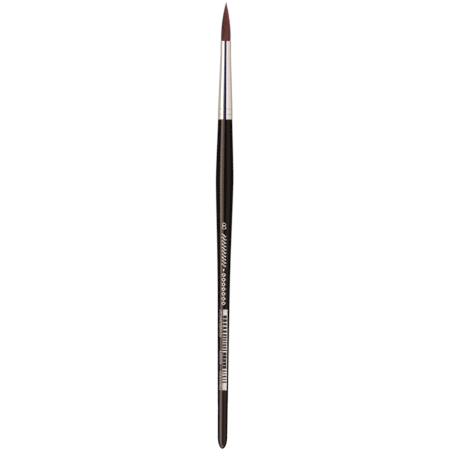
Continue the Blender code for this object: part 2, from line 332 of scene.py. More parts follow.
# ================================================================ the ferrule
# A seamless brass tube, spun to a cone, which left rings on it, and then nickel plated and polished. Two
# crimps are rolled into it near the handle, its mouth has a round lip, and its lower edge is broken.

FERRULE_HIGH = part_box("ferrule")[1].z
WALL = 0.3 * MM
MOUTH_RADIUS = 3.33 * MM
EDGE_RADIUS = 4.6 * MM
MOUTH_BAND = 9 * MM
EDGE_BAND = 5 * MM
CRIMPS = (3.1 * MM, 6.4 * MM)  # over the lower edge
CRIMPED_BAND = 9 * MM  # the stretch with the crimps, which takes the finest steps
CRIMP_DEPTH = 0.12 * MM
CRIMP_WIDTH = 1.2 * MM
SWAGE = 0.02 * MM  # how far the metal stands up beside a crimp
SWAGE_WIDTH = 1.2  # of half a crimp's width
BROKEN_EDGE = 0.08 * MM


def crimp_dip(height):
    """How far the wall is pressed in at a height over the lower edge. Beside a crimp it stands up."""
    dip = 0.0
    for centre in CRIMPS:
        offset = abs(height - centre) / (CRIMP_WIDTH / 2)
        if offset < 1:
            dip += CRIMP_DEPTH * (1 + math.cos(math.pi * offset)) / 2
        elif offset < 1 + SWAGE_WIDTH:
            dip -= SWAGE * (1 - math.cos(2 * math.pi * (offset - 1) / SWAGE_WIDTH)) / 2
    return dip


def ferrule_radius(height):
    share = (height - EDGE_BAND) / (FERRULE_HIGH - FERRULE_LOW - MOUTH_BAND - EDGE_BAND)
    share = min(1, max(0, share))
    return EDGE_RADIUS + (MOUTH_RADIUS - EDGE_RADIUS) * share - crimp_dip(height)


def ferrule_line():
    """The tube's section, up the outside, over the lip and down the bore."""
    length = FERRULE_HIGH - FERRULE_LOW
    lip = WALL / 2
    heights = steps(BROKEN_EDGE, CRIMPED_BAND, 90) + steps(CRIMPED_BAND, length - lip, 36)[1:]
    broken = [
        (
            EDGE_RADIUS - BROKEN_EDGE + BROKEN_EDGE * math.sin(turn),
            BROKEN_EDGE - BROKEN_EDGE * math.cos(turn),
        )
        for turn in steps(0, math.pi / 2, 4)[:-1]
    ]
    outside = [(ferrule_radius(height), height) for height in heights]
    over = [
        (MOUTH_RADIUS - lip + lip * math.cos(turn), length - lip + lip * math.sin(turn))
        for turn in steps(0, math.pi, 10)[1:-1]
    ]
    bore = [(ferrule_radius(height) - WALL, height) for height in heights[::-3]]
    foot = [(EDGE_RADIUS - WALL, 0)]
    line = broken + outside + over + bore + foot
    return [(radius, FERRULE_LOW + height) for radius, height in line]


def nickel_plate():
    made, graph = finish_called("polished nickel")
    place = graph.position()
    apart = graph.node("ShaderNodeSeparateXYZ", {}, {"Vector": place})
    height = apart.output("Z") - FERRULE_LOW
    rings = graph.noise(graph.position((0.02, 0.02, 1)), 9000, 4, 0.7)
    drawn = graph.noise(graph.position((1, 1, 0.01)), 5200, 3, 0.6)
    smear = graph.noise(graph.position((1, 1, 0.3)), 260, 4, 0.65)
    pits = graph.soft_step(graph.noise(place, 4200, 1), 0.76, 0.8)
    # Painted shade: round each crimp the colour darkens towards tarnish, and the metal is rougher there.
    crimp_shade = 0.0
    for centre in CRIMPS:
        offset = graph.node("ShaderNodeMath", {"operation": "ABSOLUTE"}, {0: height - centre})
        crimp_shade = crimp_shade + (1 - graph.soft_step(offset, 0.1 * MM, 0.5 * MM))
    # The dark colour is real tarnish in the pits and painted shade in the crimps.
    bright, tarnish_and_shade = (0.80, 0.77, 0.73, 1), (0.36, 0.29, 0.22, 1)
    metal = graph.blended(bright, tarnish_and_shade, crimp_shade * 0.35 + pits * 0.2)
    even = graph.bumped(rings, 0.0002 * MM)
    graph.surface({
        "Base Color": metal,
        "Metallic": 1.0,
        "Roughness": graph.between(0.04, 0.16, smear * 0.5 + crimp_shade * 0.4 + pits * 0.3 - 0.2),
        "Normal": graph.bumped(drawn, 0.0001 * MM, even),
    })
    return made


tube = turned("plated_ferrule", ferrule_line(), nickel_plate(), around=128)
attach(tube, "handle_and_ferrule")
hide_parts("ferrule")


# ================================================================ glue on the tenon, adhesive on the roots
# Yellow wood glue, squeezed into a sleeve between the tenon and the tube, and amber epoxy, poured into the
# tube over the tied roots, where it set with a dish in its surface and a few small bubbles.


def set_glue(name, clear, cloudy, bubble_scale, sheen):
    made, graph = finish_called(name)
    cloud = graph.noise(graph.position(), 900, 4)
    bubble = graph.node("ShaderNodeTexVoronoi", {}, {"Vector": graph.position(), "Scale": bubble_scale})
    dent = 1 - graph.soft_step(bubble, 0.05, 0.3)
    graph.surface({
        "Base Color": graph.blended(clear, cloudy, cloud + dent * 0.4),
        "Roughness": graph.between(sheen, sheen + 0.25, cloud),
        "Subsurface Weight": 0.3,
        "Subsurface Scale": 0.4 * MM,
        "Normal": graph.bumped(1 - dent, 0.03 * MM),
    })
    return made


YELLOW, CREAM = (0.72, 0.52, 0.22, 1), (0.86, 0.74, 0.48, 1)
AMBER, HONEY = (0.45, 0.24, 0.07, 1), (0.66, 0.44, 0.18, 1)
give("tenon_glue", set_glue("wood glue", YELLOW, CREAM, bubble_scale=1500, sheen=0.35))
give("root_adhesive", set_glue("amber epoxy", AMBER, HONEY, bubble_scale=2200, sheen=0.15))


# ================================================================ the binding thread
# Two-ply linen, wound in close turns round the roots and drawn tight before they are set in adhesive.

THREAD_LOW, THREAD_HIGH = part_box("binding_thread")
THREAD_RADIUS = 0.175 * MM
PLY_RADIUS = 0.095 * MM
PLY_OFFSET = 0.078 * MM
WINDING_RADIUS = THREAD_HIGH.x - THREAD_RADIUS
TURNS = 4
PLY_TWISTS_A_TURN = 14
POINTS_A_TURN = 90


def linen():
    made, graph = finish_called("linen thread")
    hair = graph.noise(graph.position(), 9000, 3, 0.7)
    pale, dark = (0.74, 0.66, 0.50, 1), (0.46, 0.37, 0.25, 1)
    graph.surface({
        "Base Color": graph.blended(pale, dark, hair),
        "Roughness": graph.between(0.7, 0.95, hair),
        "Sheen Weight": 0.3,
        "Normal": graph.bumped(hair, 0.01 * MM),
    })
    return made


class GeometryTree(Graph):
    """A Geometry Nodes tree with named inputs, which makes a plain mesh of its own."""

    def __init__(self, name, inputs):
        super().__init__(bpy.data.node_groups.new(name, "GeometryNodeTree"))
        sockets = self.tree.interface
        for side in ("INPUT", "OUTPUT"):
            sockets.new_socket(name="Geometry", in_out=side, socket_type="NodeSocketGeometry")
        for input_name, (kind, value) in inputs.items():
            made = sockets.new_socket(name=input_name, in_out="INPUT", socket_type="NodeSocket" + kind)
            if value is not None:
                made.default_value = value
        self.given = self.tree.nodes.new("NodeGroupInput")

    def input(self, name):
        return Field(self, self.given.outputs[name])

    def combined(self, x, y, z):
        return self.node("ShaderNodeCombineXYZ", {}, {"X": x, "Y": y, "Z": z})

    def sine(self, angle):
        return self.node("ShaderNodeMath", {"operation": "SINE"}, {0: angle})

    def cosine(self, angle):
        return self.node("ShaderNodeMath", {"operation": "COSINE"}, {0: angle})

    def stored(self, geometry, name, value, data_type="FLOAT"):
        settings = {"domain": "POINT", "data_type": data_type}
        inputs = {"Geometry": geometry, "Name": name, "Value": value}
        return self.node("GeometryNodeStoreNamedAttribute", settings, inputs)

    def attribute(self, name):
        return self.node("GeometryNodeInputNamedAttribute", {"data_type": "FLOAT"}, {"Name": name})

    def joined(self, *geometries):
        both = self.node("GeometryNodeJoinGeometry")
        for geometry in geometries:
            self.tree.links.new(geometry.socket, both.socket.node.inputs[0])
        return both

    def ends_with(self, geometry, finish):
        """Closes the tree with Realize Instances and Set Material."""
        real = self.node("GeometryNodeRealizeInstances", {}, {"Geometry": geometry})
        smooth = self.node("GeometryNodeSetShadeSmooth", {}, {"Geometry": real})
        done = self.node("GeometryNodeSetMaterial", {}, {"Geometry": smooth, "Material": finish})
        self.node("NodeGroupOutput", {}, {"Geometry": done})

    def mesh(self, name, values):
        """The tree's result with these inputs, as an object with a plain mesh."""
        holder = bpy.data.objects.new(name, bpy.data.meshes.new(name))
        bpy.context.scene.collection.objects.link(holder)
        modifier = holder.modifiers.new("made", "NODES")
        modifier.node_group = self.tree
        for socket in self.tree.interface.items_tree:
            if socket.in_out == "INPUT" and socket.name in values:
                modifier[socket.identifier] = values[socket.name]
        evaluated = holder.evaluated_get(bpy.context.evaluated_depsgraph_get())
        plain = bpy.data.meshes.new_from_object(evaluated)
        holder.modifiers.clear()
        holder.data = plain
        plain.name = name
        return holder


def winding_tree(finish):
    """Two plies twisted round one line, which winds up the roots."""
    tree = GeometryTree("winding", {
        "Turns": ("Float", 4.0),
        "Winding Radius": ("Float", 0.0025),
        "Winding Height": ("Float", 0.0017),
        "Foot": ("Float", 0.0),
        "Twists": ("Float", 50.0),
        "Ply Radius": ("Float", 0.0001),
        "Ply Offset": ("Float", 0.0001),
        "Points": ("Int", 300),
    })
    count = tree.input("Points")
    plies = []
    for half_turn in (0.0, math.pi):
        line = tree.node("GeometryNodeCurvePrimitiveLine", {}, {"End": (0, 0, 1)})
        fine = tree.node("GeometryNodeResampleCurve", {}, {"Curve": line, "Count": count})
        along = tree.node("GeometryNodeSplineParameter")
        angle = along * tree.input("Turns") * (2 * math.pi)
        twist = along * tree.input("Twists") * (2 * math.pi) + half_turn
        out = tree.input("Winding Radius") + tree.cosine(twist) * tree.input("Ply Offset")
        rise = along * tree.input("Winding Height") + tree.input("Foot")
        rise = rise + tree.sine(twist) * tree.input("Ply Offset")
        place = tree.combined(tree.cosine(angle) * out, tree.sine(angle) * out, rise)
        plies.append(tree.node("GeometryNodeSetPosition", {}, {"Geometry": fine, "Position": place}))
    circle = {"Resolution": 8, "Radius": tree.input("Ply Radius")}
    section = tree.node("GeometryNodeCurvePrimitiveCircle", {}, circle)
    swept = {"Curve": tree.joined(*plies), "Profile Curve": section, "Fill Caps": True}
    tree.ends_with(tree.node("GeometryNodeCurveToMesh", {}, swept), finish)
    return tree


thread = winding_tree(linen()).mesh("linen_binding", {
    "Turns": float(TURNS),
    "Winding Radius": WINDING_RADIUS,
    "Winding Height": THREAD_HIGH.z - THREAD_LOW.z - 2 * THREAD_RADIUS,
    "Foot": THREAD_LOW.z + THREAD_RADIUS,
    "Twists": float(TURNS * PLY_TWISTS_A_TURN),
    "Ply Radius": PLY_RADIUS,
    "Ply Offset": PLY_OFFSET,
    "Points": TURNS * POINTS_A_TURN,
})
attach(thread, "handle_and_ferrule")
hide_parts("binding_thread")


# ================================================================ the filaments
# Tapered synthetic filaments, cupped to a point, tied and squeezed at their roots and packed tight in the
# mouth of the ferrule. They are dark red, satin, and paler and browner towards their flagged tips.

ROOT_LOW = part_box("filament_roots")[0].z
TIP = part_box("point_filaments")[1].z
TUFT_LENGTH = TIP - FERRULE_HIGH
TUFT_RADIUS = 2.98 * MM
BELLY_SWELL = 0.13 * MM  # how much the tuft swells just over the mouth
BOUND_RADIUS = 2.30 * MM
BOUND_END = ROOT_LOW + 7.0 * MM
FLARE_END = ROOT_LOW + 11.0 * MM
FILAMENT_RADIUS = 0.066 * MM
FILAMENTS = 2600
FILAMENT_POINTS = 12
POINT_EASE = (2.2, 1.06)  # the powers by which the tuft draws in, gently at first and then to a point
REACH_POWER = 1.6  # the higher, the more filaments end near the mouth
PACKING = 0.47  # the power that packs the filaments a little closer at the outside of the bundle


def filament_finish():
    made, graph = finish_called("dark red filament")
    along = graph.node("ShaderNodeAttribute", {"attribute_name": "along"}, output="Fac")
    tint = graph.node("ShaderNodeAttribute", {"attribute_name": "tint"}, output="Fac")
    # Each filament has a place of its own in the noise, so its streaks run along it and bend with it.
    strand = graph.node("ShaderNodeCombineXYZ", {}, {"X": tint * 300.0, "Y": along})
    streak = graph.noise(strand, 3, 3, 0.6)
    dark, red, tip = (0.12, 0.018, 0.024, 1), (0.305, 0.074, 0.081, 1), (0.42, 0.135, 0.095, 1)
    colour = graph.blended(dark, red, tint * 0.6 + streak * 0.5)
    colour = graph.blended(colour, tip, graph.soft_step(along + tint * 0.15, 0.35, 1.05))
    graph.surface({
        "Base Color": colour,
        "Roughness": graph.between(0.34, 0.5, tint),
        "Specular IOR Level": 0.3,
        "Normal": graph.bumped(streak, 0.01 * MM),
    })
    return made


def bundle_tree(finish):
    """A bundle of filaments that are tied, flare to the tube's mouth and draw together to a point."""
    tree = GeometryTree("filament bundle", {
        "Count": ("Int", 100),
        "Root": ("Float", 0.0),
        "Bound End": ("Float", 0.0),
        "Flare End": ("Float", 0.0),
        "Mouth": ("Float", 0.0),
        "Length": ("Float", 0.01),
        "Bound Radius": ("Float", 0.002),
        "Tuft Radius": ("Float", 0.003),
        "Swell": ("Float", 0.0),
        "Filament Radius": ("Float", 0.0001),
        "Points": ("Int", 12),
        "Seed": ("Int", 0),
    })
    count, seed = tree.input("Count"), tree.input("Seed")

    def chance(low, high, offset):
        """A random number for each filament."""
        ends = {2: low, 3: high, "Seed": seed + float(offset)}
        return tree.node("FunctionNodeRandomValue", {"data_type": "FLOAT"}, ends, output=1)

    dots = tree.node("GeometryNodePoints", {}, {"Count": count})
    index = tree.node("GeometryNodeInputIndex")
    golden_angle = math.pi * (3 - math.sqrt(5))
    packed = ((index + 0.5) / count) ** PACKING
    spread = packed + chance(-0.012, 0.012, 1)
    turn = index * golden_angle + chance(-0.05, 0.05, 2)
    reach = (1 - chance(0.0, 1.0, 3) ** (1 / REACH_POWER)) ** (1 / POINT_EASE[0])
    dots = tree.stored(dots, "spread", spread)
    dots = tree.stored(dots, "turn", turn)
    dots = tree.stored(dots, "reach", reach)
    dots = tree.stored(dots, "tint", chance(0.0, 1.0, 4))

    line = tree.node("GeometryNodeCurvePrimitiveLine", {}, {"End": (0, 0, 1)})
    fine = tree.node("GeometryNodeResampleCurve", {}, {"Curve": line, "Count": tree.input("Points")})
    standing = tree.node("GeometryNodeInstanceOnPoints", {}, {"Points": dots, "Instance": fine})
    strands = tree.node("GeometryNodeRealizeInstances", {}, {"Geometry": standing})

    along = tree.node("GeometryNodeSplineParameter")
    top = tree.input("Mouth") + tree.input("Length") * tree.attribute("reach")
    height = tree.input("Root") + along * (top - tree.input("Root"))
    flare = tree.soft_step(height, tree.input("Bound End"), tree.input("Flare End"))
    tied = tree.input("Bound Radius") + flare * (tree.input("Tuft Radius") - tree.input("Bound Radius"))
    over = (height - tree.input("Mouth")) / tree.input("Length")
    over = tree.node("ShaderNodeMath", {"operation": "MAXIMUM"}, {0: over, 1: 0.0})
    drawn = (1 - over ** POINT_EASE[0]) ** POINT_EASE[1]
    full = tied + tree.input("Swell") * tree.soft_step(over, 0.0, 0.12)
    radius = (full - tree.input("Filament Radius")) * drawn * tree.attribute("spread")
    angle = tree.attribute("turn")
    place = tree.combined(tree.cosine(angle) * radius, tree.sine(angle) * radius, height)
    strands = tree.stored(strands, "along", over)
    strands = tree.node("GeometryNodeSetPosition", {}, {"Geometry": strands, "Position": place})
    taper = 1 - tree.soft_step(over / tree.attribute("reach"), 0.2, 1.0) * 0.8
    circle = {"Resolution": 3, "Radius": tree.input("Filament Radius")}
    section = tree.node("GeometryNodeCurvePrimitiveCircle", {}, circle)
    swept = {"Curve": strands, "Profile Curve": section, "Scale": taper, "Fill Caps": True}
    tree.ends_with(tree.node("GeometryNodeCurveToMesh", {}, swept), finish)
    return tree


tuft = bundle_tree(filament_finish()).mesh("filaments", {
    "Count": FILAMENTS,
    "Root": ROOT_LOW,
    "Bound End": BOUND_END,
    "Flare End": FLARE_END,
    "Mouth": FERRULE_HIGH,
    "Length": TUFT_LENGTH,
    "Bound Radius": BOUND_RADIUS,
    "Tuft Radius": TUFT_RADIUS,
    "Swell": BELLY_SWELL,
    "Filament Radius": FILAMENT_RADIUS,
    "Points": FILAMENT_POINTS,
    "Seed": 7,
})
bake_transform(tuft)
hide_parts("belly_filaments", "point_filaments", "filament_roots")


# ================================================================ the print
# A figure for the size, a band of ornament and fine lines, stamped in silver foil, and a printed white
# panel with a code of black bars. Each is a thin film, bedded in the face of the lacquer.

FILM = 0.030 * MM  # a film's thickness, most of it sunk in the lacquer
FILM_LIFT = 0.012 * MM  # how far the face of a film stands over the lacquer
MARK_STEP = 0.3 * MM  # longest straight stretch across the handle
RAY_START = 50 * MM  # the rays that find the lacquer start this far from the axis


def flat_object(name, shape):
    """An object with this flat mesh, to be copied by a print and then removed."""
    mesh = bpy.data.meshes.new(name)
    shape.to_mesh(mesh)
    shape.free()
    made = bpy.data.objects.new(name, mesh)
    bpy.context.scene.collection.objects.link(made)
    return made


def strip_mark(name, columns, place):
    """A flat mark, x across and z along the handle: a strip between two rails that the formula places."""
    shape = bmesh.new()
    low, high = (
        [shape.verts.new(place(column / columns, rail)) for column in range(columns + 1)]
        for rail in (0.0, 1.0)
    )
    for i in range(columns):
        shape.faces.new((low[i], low[i + 1], high[i + 1], high[i]))
    bmesh.ops.remove_doubles(shape, verts=shape.verts, dist=1e-8)
    return flat_object(name, shape)


def bar_mark(name, width, height):
    """An upright rectangle, in as many columns as it takes to bend round the handle."""

    def place(along, rail):
        return (along - 0.5) * width, 0, (rail - 0.5) * height

    return strip_mark(name, max(1, math.ceil(width / MARK_STEP)), place)


def stroke_mark(name, width, thickness, slant):
    """A pen stroke that falls to the right, thick in the middle, with its ends curled."""

    def place(along, rail):
        run = (along - 0.5) * width
        swell = 0.3 + 0.7 * math.sin(math.pi * along) ** 0.6
        curl = 0.16 * width * math.sin(2 * math.pi * along)
        return run, 0, curl - run * math.tan(slant) + (rail - 0.5) * thickness * swell

    return strip_mark(name, math.ceil(width / MARK_STEP) * 2, place)


def diamond_mark(name, width, height, open_share):
    """A diamond with an open middle."""

    def place(along, rail):
        turn = 2 * math.pi * along
        across, up = math.cos(turn), math.sin(turn)
        reach = (1 - rail * open_share) / (2 * (abs(across) / width + abs(up) / height))
        return reach * across, 0, reach * up

    return strip_mark(name, columns=32, place=place)


def figure_mark(name, width, height):
    """An upright figure eight with two counters and a slight slant."""
    half, waist = height / 2, 0.15 * height

    def outline(turn):
        reach = math.sqrt((half * math.cos(turn)) ** 2 + (waist * math.sin(turn)) ** 2)
        up = reach * math.cos(turn)
        return reach * math.sin(turn) * width / height * (1.7 - 0.22 * up / half), up

    def counter(turn, up, aside, across, tall):
        return aside + across * math.sin(turn), up + tall * math.cos(turn)

    turns = steps(0, 2 * math.pi, 48)[:-1]
    # Each counter: how far up and aside its middle is, and its half width and half height.
    upper = (0.25 * height, 0.02 * width, 0.32 * width, 0.17 * height)
    lower = (-0.235 * height, -0.02 * width, 0.36 * width, 0.195 * height)
    loops = [
        [outline(turn) for turn in turns],
        [counter(turn, *upper) for turn in turns[::2]],
        [counter(turn, *lower) for turn in turns[::2]],
    ]
    shape = bmesh.new()
    for loop in loops:
        points = [shape.verts.new((across - 0.05 * up, 0, up)) for across, up in loop]
        for first, second in zip(points, points[1:] + points[:1]):
            shape.edges.new((first, second))
    bmesh.ops.triangle_fill(shape, use_beauty=True, edges=shape.edges[:])
    for across in steps(-width / 2, width / 2, math.ceil(width / MARK_STEP)):
        everything = shape.verts[:] + shape.edges[:] + shape.faces[:]
        bmesh.ops.bisect_plane(shape, geom=everything, plane_co=(across, 0, 0), plane_no=(1, 0, 0))
    return flat_object(name, shape)


def print_tree(finish):
    """A flat mark repeated in a grid, bent round the handle and given the thickness of its film."""
    tree = GeometryTree("print " + finish.name, {
        "Mark": ("Object", None),
        "Surface": ("Object", None),
        "Columns": ("Int", 1),
        "Column Gap": ("Float", 0.0),
        "Rows": ("Int", 1),
        "Height": ("Float", 0.0),
        "Foot": ("Float", 0.0),
        "Azimuth": ("Float", 0.0),
        "Shortest": ("Float", 1.0),
        "Longest": ("Float", 1.0),
        "Lift": ("Float", 0.00001),
        "Film": ("Float", 0.00003),
        "Seed": ("Int", 0),
    })
    spread = {
        "Size X": tree.input("Column Gap") * (tree.input("Columns") - 1.0),
        "Size Y": tree.input("Height"),
        "Vertices X": tree.input("Columns"),
        "Vertices Y": tree.input("Rows"),
    }
    grid = tree.node("GeometryNodeMeshGrid", {}, spread)
    place = tree.node("GeometryNodeInputPosition")
    flat = tree.node("ShaderNodeSeparateXYZ", {}, {"Vector": place})
    rise = flat.output("Y") + tree.input("Height") * 0.5 + tree.input("Foot")
    upright = tree.combined(flat, 0.0, rise)
    dots = tree.node("GeometryNodeSetPosition", {}, {"Geometry": grid, "Position": upright})
    mark = tree.node("GeometryNodeObjectInfo", {}, {"Object": tree.input("Mark")}, output="Geometry")
    ends = {2: tree.input("Shortest"), 3: tree.input("Longest"), "Seed": tree.input("Seed")}
    stretch = tree.node("FunctionNodeRandomValue", {"data_type": "FLOAT"}, ends, output=1)
    scale = tree.combined(1.0, 1.0, stretch)
    copies = {"Points": dots, "Instance": mark, "Scale": scale}
    marks = tree.node("GeometryNodeInstanceOnPoints", {}, copies)
    marks = tree.node("GeometryNodeRealizeInstances", {}, {"Geometry": marks})

    apart = tree.node("ShaderNodeSeparateXYZ", {}, {"Vector": tree.node("GeometryNodeInputPosition")})
    height = apart.output("Z")
    shell = tree.node("GeometryNodeObjectInfo", {}, {"Object": tree.input("Surface")}, output="Geometry")
    ray = {
        "Target Geometry": shell,
        "Source Position": tree.combined(0.0, -RAY_START, height),
        "Ray Direction": (0, 1, 0),
        "Ray Length": RAY_START,
    }
    reached = tree.node("GeometryNodeRaycast", {}, ray, output="Hit Distance")
    radius = RAY_START - reached + tree.input("Lift") - tree.input("Film")
    angle = tree.input("Azimuth") + apart / radius
    away = tree.combined(tree.sine(angle), 0.0 - tree.cosine(angle), 0.0)
    around = tree.combined(tree.sine(angle) * radius, 0.0 - tree.cosine(angle) * radius, height)
    marks = tree.stored(marks, "away", away, data_type="FLOAT_VECTOR")
    laid = tree.node("GeometryNodeSetPosition", {}, {"Geometry": marks, "Position": around})
    out = tree.node("GeometryNodeInputNamedAttribute", {"data_type": "FLOAT_VECTOR"}, {"Name": "away"})
    thick = {"Mesh": laid, "Offset": out, "Offset Scale": tree.input("Film"), "Individual": False}
    raised = tree.node("GeometryNodeExtrudeMesh", {}, thick)
    under = tree.node("GeometryNodeFlipFaces", {}, {"Mesh": laid})
    film = tree.joined(raised, under)
    film = tree.node("GeometryNodeMergeByDistance", {}, {"Geometry": film, "Distance": 1e-7})
    film = tree.node("GeometryNodeRemoveAttribute", {}, {"Geometry": film, "Name": "away"})
    tree.ends_with(film, finish)
    return tree


def film_finish(name, pale, worn, sheen, metallic=0.0):
    made, graph = finish_called(name)
    rub = graph.noise(graph.position((1, 1, 0.5)), 2400, 4, 0.7)
    graph.surface({
        "Base Color": graph.blended(pale, worn, graph.soft_step(rub, 0.55, 0.8)),
        "Metallic": metallic,
        "Roughness": graph.between(sheen, sheen + 0.2, rub),
        "Normal": graph.bumped(rub, 0.003 * MM),
    })
    return made


def turn_outwards(made):
    """Turns the faces of a closed mesh outwards."""
    shape = bmesh.new()
    shape.from_mesh(made.data)
    bmesh.ops.recalc_face_normals(shape, faces=shape.faces)
    shape.to_mesh(made.data)
    shape.free()


def printed(name, tree, mark, node, slot_name, foot, top, azimuth, **inputs):
    """A print between two heights, made of copies of the mark, that stands for the CAD node."""
    values = {
        "Mark": mark,
        "Surface": coat,
        "Foot": foot,
        "Height": top - foot,
        "Azimuth": math.radians(azimuth),
        "Lift": FILM_LIFT,
        "Film": FILM,
    }
    made = tree.mesh(name, {**values, **inputs})
    turn_outwards(made)
    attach(made, "handle_and_ferrule")
    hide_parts(node)


SILVER, RUBBED_SILVER = (0.86, 0.81, 0.78, 1), (0.48, 0.43, 0.40, 1)
WHITE, RUBBED_WHITE = (0.92, 0.89, 0.87, 1), (0.80, 0.76, 0.74, 1)
BLACK, RUBBED_BLACK = (0.010, 0.009, 0.009, 1), (0.03, 0.026, 0.024, 1)
silver = print_tree(film_finish("silver foil", SILVER, RUBBED_SILVER, sheen=0.3, metallic=0.15))
white = print_tree(film_finish("white ink", WHITE, RUBBED_WHITE, sheen=0.35))
black = print_tree(film_finish("black ink", BLACK, RUBBED_BLACK, sheen=0.25))

# The size is a plain figure under the belly.
FACE_AZIMUTH = -2.0
SIZE_LOW, SIZE_HIGH = (corner.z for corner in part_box("size_mark"))
figure = figure_mark("figure", width=2.65 * MM, height=SIZE_HIGH - SIZE_LOW)
middle = (SIZE_LOW + SIZE_HIGH) / 2
printed("size_figure", silver, figure, "size_mark", "silver_foil", middle, middle, FACE_AZIMUTH)

# The ornament is a rope of bold strokes, a small diamond, and a chain of open diamonds.
BAND_LOW, BAND_HIGH = (corner.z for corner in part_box("ornament_band"))
ROPE_SHARE = 0.47  # of the band's length
STROKE_PITCH = 2.15 * MM
STROKE_RISE = 1.3 * MM  # from a stroke's middle to its top
stroke = stroke_mark("stroke", width=3.1 * MM, thickness=0.85 * MM, slant=math.radians(20))
rope_foot = BAND_HIGH - (BAND_HIGH - BAND_LOW) * ROPE_SHARE
strokes = round((BAND_HIGH - rope_foot - 2 * STROKE_RISE) / STROKE_PITCH) + 1
printed(
    "ornament_rope",
    silver,
    stroke,
    "ornament_band",
    "silver_foil",
    rope_foot + STROKE_RISE,
    BAND_HIGH - STROKE_RISE,
    FACE_AZIMUTH,
    Rows=strokes,
)
CHAIN_LINKS = 7
LINK_PITCH = 2.95 * MM
link = diamond_mark("link", width=2.9 * MM, height=2.7 * MM, open_share=0.49)
chain_foot = BAND_LOW + LINK_PITCH / 2
chain_top = chain_foot + LINK_PITCH * (CHAIN_LINKS - 1)
printed(
    "ornament_chain",
    silver,
    link,
    "ornament_band",
    "silver_foil",
    chain_foot,
    chain_top,
    FACE_AZIMUTH,
    Rows=CHAIN_LINKS,
)
dot = diamond_mark("dot", width=1.0 * MM, height=2.0 * MM, open_share=0.999)
middle = (chain_top + rope_foot + LINK_PITCH / 2) / 2
printed("ornament_dot", silver, dot, "ornament_band", "silver_foil", middle, middle, FACE_AZIMUTH)

# The panel is blank at both ends and has four groups of bars between.
PANEL_LOW, PANEL_HIGH = (corner.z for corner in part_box("code_panel"))
PANEL_AZIMUTH = 17.0
PANEL_WIDTH = 2.95 * MM
panel = bar_mark("panel", PANEL_WIDTH, PANEL_HIGH - PANEL_LOW)
middle = (PANEL_LOW + PANEL_HIGH) / 2
printed("panel_film", white, panel, "code_panel", "white_ink", middle, middle, PANEL_AZIMUTH)
BARS_AZIMUTH = PANEL_AZIMUTH - 1.5
BAR_WIDTH = 2.5 * MM
# Name, middles of the first and last bar in mm over the panel's foot, pitch in mm, and the height of the
# thinnest and thickest bar as a share of the pitch
BAR_ZONES = (
    ("wide", 36.6, 45.8, 2.3, 0.62, 0.92),
    ("close", 24.9, 34.5, 1.6, 0.55, 0.92),
    ("broad", 14.3, 22.7, 2.1, 0.62, 0.95),
    ("narrow", 5.0, 12.0, 1.75, 0.38, 0.66),
)
bar_marks = []
for seed, (name, low, high, pitch, shortest, longest) in enumerate(BAR_ZONES, 1):
    bar = bar_mark("bar " + name, BAR_WIDTH, pitch * MM)
    bar_marks.append(bar)
    printed(
        "panel_bars_" + name,
        black,
        bar,
        "code_panel",
        "black_lacquer",
        PANEL_LOW + low * MM,
        PANEL_LOW + high * MM,
        BARS_AZIMUTH,
        Rows=round((high - low) / pitch) + 1,
        Shortest=shortest,
        Longest=longest,
        Lift=2 * FILM_LIFT,
        Seed=seed,
    )

# The fine lines run beside the panel, three abreast and in three groups.
LINE_GAP = 0.52 * MM
DASH_PITCH = 0.95 * MM
LINES_AZIMUTH = -28.0
LINE_GROUPS = ((0.6, 11.6), (16.8, 24.0), (33.5, 49.8))  # from and to, in mm over the panel's foot
dash = bar_mark("dash", width=0.34 * MM, height=DASH_PITCH)
for number, (low, high) in enumerate(LINE_GROUPS):
    printed(
        "fine_lines_%d" % (number + 1),
        silver,
        dash,
        "fine_lines",
        "silver_foil",
        PANEL_LOW + low * MM,
        PANEL_LOW + high * MM,
        LINES_AZIMUTH,
        Columns=3,
        Rows=round((high - low) * MM / DASH_PITCH),
        Shortest=0.45,
        Longest=0.92,
        Seed=number,
        **{"Column Gap": LINE_GAP},
    )
for mark in (figure, stroke, link, dot, panel, dash, *bar_marks):
    bpy.data.objects.remove(mark)


# ================================================================ floor, light and camera
# A white floor that meets the white beyond it, tall soft boxes round the brush, and a very long lens level
# with its middle. The polished ferrule has boxes of its own, which only it mirrors.

BRUSH_LOW, BRUSH_HIGH = cad_box
MIDDLE = (BRUSH_LOW.z + BRUSH_HIGH.z) / 2
BOX_DISTANCE = 0.8  # from the brush's axis
BOX_FOOT, BOX_TOP = -0.8, 1.1
LOW_TOP = 0.03  # of the boxes that only the tail mirrors
FLOOR_RADIUS = 6.0
FLOOR_DROP = 0.3 * MM  # how far the floor is under the tail
GLINT_INSIDE, GLINT_OUTSIDE = 1.6 * MM, 5.0 * MM  # radii of the bright patch
GLINT_DROP = 0.1 * MM
FRAME_HEIGHT = 281.4 * MM  # how much the camera takes in, at the brush's distance
LENS = 400.0  # focal length in mm
LEAN = 0.48  # degrees that the camera is turned about the line it looks along
ASIDE = 0.45 * MM  # how far it stands to the right of the brush


def lit_group(name, state):
    """A light's receivers: the ferrule alone if it is included, all but the ferrule if it is excluded."""
    group = bpy.data.collections.new(name)
    group.objects.link(tube)
    group.collection_objects[0].light_linking.link_state = state
    return group


METAL = lit_group("lit metal", "INCLUDE")
REST = lit_group("lit rest", "EXCLUDE")


def area_light(name, width, height, radiance, colour, receivers=None):
    """A light of even radiance that the camera never sees.

    One with receivers is only mirrored, by them, and one without only lights the brush.
    """
    light = bpy.data.lights.new(name, "AREA")
    light.shape = "RECTANGLE"
    light.size = width
    light.size_y = height
    light.energy = radiance * math.pi * width * height
    light.color = colour
    made = bpy.data.objects.new(name, light)
    bpy.context.scene.collection.objects.link(made)
    made.visible_camera = False
    made.visible_diffuse = receivers is None
    made.visible_glossy = receivers is not None
    made.light_linking.receiver_collection = receivers
    return made


